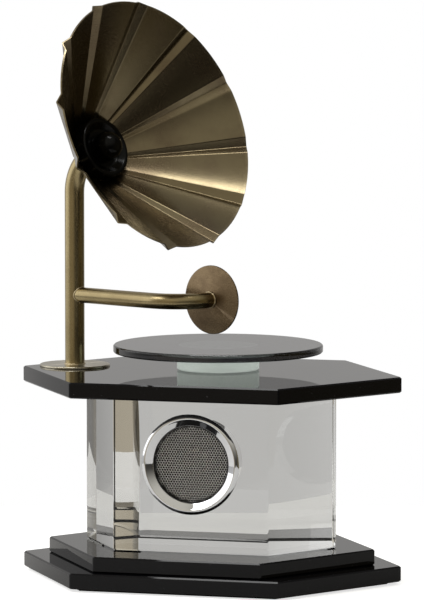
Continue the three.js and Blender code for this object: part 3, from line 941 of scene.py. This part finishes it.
def horn_axis():
    axis = heading(HORN["turn"]) * math.cos(math.radians(HORN["lift"]))
    axis.z = math.sin(math.radians(HORN["lift"]))
    return axis


def horn_apex():
    apex = Vector((STAND_FOOT.x, STAND_FOOT.y, DECK + APEX_ABOVE_DECK))
    return apex + heading(HORN["turn"]) * HORN["offset"]


def stand_path():
    lift = math.radians(HORN["lift"])
    turn = math.pi / 2 - lift
    reach = STAND_BEND * (1 - math.cos(turn))
    rise = STAND_BEND * math.sin(turn)
    top = horn_apex().z + (reach - HORN["offset"]) * math.tan(lift) - rise
    foot = Vector((STAND_FOOT.x, STAND_FOOT.y, in_mm("stand_tube")[0].z))
    bend = Vector((STAND_FOOT.x, STAND_FOOT.y, top))
    path = straight_points(foot, bend, 40)
    path += arc_points(bend, UP, heading(HORN["turn"]), STAND_BEND, turn, 28)
    path.append(path[-1] + horn_axis() * STAND_TAIL)
    return path


def make_stand():
    path = stand_path()
    mesh = swept_mesh("stand_pipe", path, [TUBE_RADIUS] * len(path), 64)
    finish_piece("stand_pipe", mesh, TUBE_BRASS, "base", ("stand_tube",), sharp=50)
    low, high = in_mm("foot_flange")
    radius, thick = (high.x - low.x) / 2, high.z - low.z
    place = seat(Vector((STAND_FOOT.x, STAND_FOOT.y, low.z)))
    outline = [
        (0, 0), (radius - 0.1, 0), (radius, 0.1), (radius, thick - 0.4), (radius - 0.35, thick), (0, thick),
    ]
    turned("flange_disc", outline, FLANGE_BRASS, "base", place, ("foot_flange",), 128, 0.15)
    foot = path[0]
    ring = [foot + heading(angle) * (TUBE_RADIUS + 0.1) for angle in range(0, 360, 6)]
    weld_bead("foot_weld", ring, WELD_WIDTH["foot"])

    underside = in_mm("stand_washer")[1].z
    below = seat(Vector((STAND_FOOT.x, STAND_FOOT.y, underside)))
    bore, rim, under = STAND_WASHER["bore"], STAND_WASHER["radius"], -STAND_WASHER["thickness"]
    washer = [(bore, under), (rim, under), (rim, 0), (bore, 0)]
    turned("clamp_washer", washer, STEEL, "base", below, ("stand_washer",), 64, 0.2)
    socket, shank, head = STAND_SCREW["socket"], STAND_SCREW["shank"], STAND_SCREW["head"]
    length = STAND_SCREW["length"]
    screw = [
        (0, -2.3), (socket, -2.3), (socket, -3.8), (STAND_SCREW["head_face"], -3.8), (head, -3.1),
        (head, under), (shank, under), (shank, length), (0, length),
    ]
    turned("clamp_screw", screw, STEEL, "base", below, ("stand_screw",), 48, 0.2)


def arm_frame():
    along = heading(ARM["turn"])
    back = heading(ARM["turn"] + 90)
    start = Vector((STAND_FOOT.x, STAND_FOOT.y, DECK + ARM["above_deck"]))
    return start, along, back


def make_arm():
    start, along, back = arm_frame()
    bend = start + along * ARM["straight"]
    path = straight_points(start + along * ARM_START, bend, 30)
    path += arc_points(bend, along, back, ARM["bend"], math.pi / 2, 24)
    path.append(path[-1] + back * ARM_STUB)
    mesh = swept_mesh("arm_pipe", path, [ARM["radius"]] * len(path), 56)
    finish_piece("arm_pipe", mesh, TUBE_BRASS, "base", ("tone_arm",), sharp=50)

    seam = []
    for step in range(60):
        angle = math.tau * step / 60
        aside = ARM["radius"] * math.cos(angle)
        tall = ARM["radius"] * math.sin(angle)
        out = math.sqrt(TUBE_RADIUS**2 - aside**2)
        seam.append(start + along * out + back * aside + UP * tall)
    weld_bead("arm_weld", seam, WELD_WIDTH["arm"])

    end = path[-1]
    radius = SOUND_BOX["radius"]
    rim = radius - SOUND_BOX["lip"]
    place = seat(end + back * SOUND_BOX["ahead"], back, UP)
    outline = [
        (0, 0), (2.0, 0.1), (9.0, 0.85), (rim, 1.75), (radius, 1.95), (radius, 2.45),
        (rim, 2.6), (9.0, 1.7), (2.0, 0.9), (0, 0.8),
    ]
    turned(
        "sound_box_cone", outline, BOX_BRASS, "base", place, ("sound_box_disc",), 128, 0.12,
        straight=True,
    )
    ring = []
    for step in range(54):
        angle = math.tau * step / 54
        spoke = along * math.cos(angle) + UP * math.sin(angle)
        ring.append(end + back * 0.15 + spoke * (ARM["radius"] + 0.05))
    weld_bead("sound_box_weld", ring, WELD_WIDTH["arm"])


# ---- the horn ----


def horn_loop(distance, shift):
    """One loop round the horn at a distance from its point: curved panels between eased folds."""
    grow = distance / HORN["length"]
    slope = math.atan2(HORN["mouth"], HORN["length"])
    out_radial, out_axial = math.cos(slope), -math.sin(slope)
    radius = HORN["mouth"] * grow + shift * out_radial
    level = UP * (distance + shift * out_axial)
    rib_grow = 0.1 + 0.9 * grow
    width, height = RIBS["half_width"] * rib_grow, RIBS["height"] * rib_grow
    panel_radius = math.hypot(radius, width)
    half_rib = math.atan2(width, radius)
    panel = math.tau / RIBS["count"] - 2 * half_rib
    first = panel / 14
    ease = 0.5 * rib_grow + 0.05
    loop = []
    for k in range(RIBS["count"]):
        angle = math.radians(RIBS["phase"]) + math.tau * k / RIBS["count"]
        radial = Vector((math.cos(angle), math.sin(angle), 0))
        tangent = Vector((-radial.y, radial.x, 0))
        middle = radial * radius + level
        ridge = middle + radial * (height * out_radial) + UP * (height * out_axial)

        def on_panel(turn):
            return Vector((math.cos(turn), math.sin(turn), 0)) * panel_radius + level

        fold = [
            on_panel(angle - half_rib - first),
            middle - tangent * width,
            ridge,
            middle + tangent * width,
            on_panel(angle + half_rib + first),
        ]
        loop += eased(fold, ease, 4)
        start = angle + half_rib + first
        for step in range(1, PANEL_STEPS):
            loop.append(on_panel(start + (panel - 2 * first) * step / PANEL_STEPS))
    return loop


def make_horn():
    along = horn_axis()
    place = seat(horn_apex(), along, UP.cross(along))
    near, far = HORN["neck"], HORN["length"]
    distances = [near + (far - near) * i / HORN_ROWS for i in range(HORN_ROWS + 1)]
    inner = [horn_loop(distance, 0.0) for distance in distances]
    outer = [horn_loop(distance, HORN_SHEET) for distance in distances]
    lip = [(a + b) / 2 + UP * 0.12 for a, b in zip(inner[-1], outer[-1])]
    loops = inner + [lip] + outer[::-1]
    sizes = {len(loop) for loop in loops}
    if len(sizes) != 1:
        raise ValueError(f"the horn's loops differ: {sizes}")
    count = sizes.pop()
    points, grain, faces = [], [], []
    for loop in loops:
        for point in loop:
            points.append(point)
            spoke = Vector((point.x, point.y, 0)).normalized()
            grain.append((spoke.x * 5, spoke.y * 5, point.length))
    rings = [range(i * count, (i + 1) * count) for i in range(len(loops))]
    for below, above in zip(rings, rings[1:] + rings[:1]):
        faces += stitched(below, above)
    mesh = new_mesh("horn_sheet", points, faces, grain)
    finish_piece("horn_sheet", mesh, SHEET_BRASS, "base", ("horn",), place, sharp=40)

    cup = [
        (2.3, 18.5), (9.4, 18.5), (10.4, 18.9), (13.4, 21.9), (14.7, 22.3), (15.6, 21.7), (15.6, 15.6),
        (14.2, 14.0), (6.0, 14.0), (6.0, 17.2), (2.3, 17.2),
    ]
    turned("throat_collar", cup, GLOSS_BLACK, "base", place, ("throat_cup",), ease=0.4)
    radius, stud, foot = DOME["radius"], DOME["stud"], DOME["foot"]
    dome = [(0, DOME["stud_end"]), (stud, DOME["stud_end"]), (stud, foot)]
    dome += [(radius - 0.2, foot), (radius, foot + 0.3)]
    steps = 12
    for step in range(steps):
        angle = math.pi / 2 * step / steps
        dome.append((radius * math.cos(angle), DOME["centre"] + radius * math.sin(angle)))
    dome.append((0, DOME["centre"] + radius))
    turned("throat_dome", dome, GLOSS_BLACK, "base", place, ("dome_nut",), ease=0.08)


# ---- stage ----


def make_floor():
    """A pale table top that ends a little way behind the loudspeaker, square to the view there."""
    turn = Matrix.Rotation(CAMERA_AZIMUTH, 3, "Z")
    corners = [
        (*TABLE_FRONT["left"], 0),
        (*TABLE_FRONT["right"], 0),
        turn @ Vector((TABLE_BACK["right"], TABLE_BACK["away"], 0)),
        turn @ Vector((TABLE_BACK["left"], TABLE_BACK["away"], 0)),
    ]
    mesh = new_mesh("table_top", corners, [(0, 1, 2, 3)])
    f = Finish("pale_table", Roughness=0.7, Emission_Color=(1, 1, 1, 1))
    grit = f.effect(GRAINY, f.place, Scale=60.0)
    f.feed(f.mix(grit.outputs["Mask"], (0.80, 0.80, 0.80), (0.82, 0.82, 0.82)), "Base Color")
    seen = add_node(f.tree, "LightPath").outputs["Is Camera Ray"]
    f.feed(math_of(f.tree, "MULTIPLY", seen, TABLE_GLOW), "Emission Strength")
    mesh.materials.append(f.material)
    floor = bpy.data.objects.new("table_top", mesh)
    bpy.context.scene.collection.objects.link(floor)


def direction(azimuth, elevation):
    """Unit vector seen from the object: azimuth 0 is its front, 90 its right-hand side."""
    a, e = math.radians(azimuth), math.radians(elevation)
    return Vector((math.sin(a) * math.cos(e), -math.cos(a) * math.cos(e), math.sin(e)))


def make_world():
    """White surroundings for the eye, and a soft studio with light and dark sides for reflections."""
    world = bpy.data.worlds.new("studio")
    bpy.context.scene.world = world
    world.use_nodes = True
    tree = world.node_tree
    back = tree.nodes["Background"]
    where = add_node(tree, "TexCoord").outputs["Generated"]
    glow = None
    for azimuth, elevation, full, end, tone in GLOW_ZONES.values():
        dot = add_node(tree, "VectorMath", {"operation": "DOT_PRODUCT"})
        tree.links.new(where, dot.inputs[0])
        dot.inputs[1].default_value = direction(azimuth, elevation)
        low, high = math.cos(math.radians(end)), math.cos(math.radians(full))
        zone = map_value(tree, dot.outputs["Value"], low, high, 0.0, 1.0)
        blend = add_node(tree, "Mix", {"data_type": "RGBA", "blend_type": "ADD"})
        tree.links.new(zone, blend.inputs["Factor"])
        if glow is None:
            blend.inputs["A"].default_value = (*GROUND_TONE, 1)
        else:
            tree.links.new(glow, blend.inputs["A"])
        blend.inputs["B"].default_value = (*tone, 1)
        glow = blend.outputs["Result"]
    seen = add_node(tree, "LightPath").outputs["Is Camera Ray"]
    mix = add_node(tree, "Mix", {"data_type": "RGBA"})
    tree.links.new(seen, mix.inputs["Factor"])
    tree.links.new(glow, mix.inputs["A"])
    mix.inputs["B"].default_value = (1, 1, 1, 1)
    tree.links.new(mix.outputs["Result"], back.inputs["Color"])


def soft_light(name, place, target, size, power):
    """A rectangular soft light at a place, turned towards a target, all in metres."""
    data = bpy.data.lights.new(name, "AREA")
    data.shape = "RECTANGLE"
    data.size, data.size_y = size
    data.energy = power
    lamp = bpy.data.objects.new(name, data)
    bpy.context.scene.collection.objects.link(lamp)
    lamp.location = place
    lamp.rotation_euler = (target - place).to_track_quat("-Z", "Y").to_euler()


def make_lights():
    beside = direction(WINDOW["azimuth"], 0) * WINDOW["away"]
    level = UP * WINDOW["height"]
    soft_light("window", beside + level, level, WINDOW["size"], WINDOW["power"])
    above = Vector((0.0, -CEILING["forward"], CEILING["height"]))
    just_behind = Vector((0, 0.001, 0))
    soft_light("ceiling", above, above - UP + just_behind, CEILING["size"], CEILING["power"])
    lamp = direction(FRONT_LAMP["azimuth"], FRONT_LAMP["elevation"]) * FRONT_LAMP["away"]
    aim = FRONT_LAMP_AIM
    soft_light("front_left", aim + lamp, aim, FRONT_LAMP["size"], FRONT_LAMP["power"])


def make_camera():
    target = Vector(CAMERA_TARGET) * MM
    back = direction(math.degrees(CAMERA_AZIMUTH), math.degrees(CAMERA_ELEVATION))
    right = Vector((math.cos(CAMERA_AZIMUTH), math.sin(CAMERA_AZIMUTH), 0))
    over = back.cross(right)
    data = bpy.data.cameras.new("camera")
    data.lens = CAMERA_LENS
    data.sensor_width = 36
    data.clip_start, data.clip_end = 0.05, 50
    camera = bpy.data.objects.new("camera", data)
    bpy.context.scene.collection.objects.link(camera)
    turn = Matrix((right, over, back)).transposed().to_4x4()
    camera.matrix_world = Matrix.Translation(target + back * CAMERA_DISTANCE) @ turn
    bpy.context.scene.camera = camera


make_camera()
refinish_frame_nodes()
make_plates()
make_block()
make_bezel()
make_grille_collar()
make_grille()
make_can()
make_can_back()
make_rear_fittings()
make_turntable()
make_stand()
make_arm()
make_horn()
make_floor()
make_world()
make_lights()
bpy.context.scene.view_settings.view_transform = "Standard"
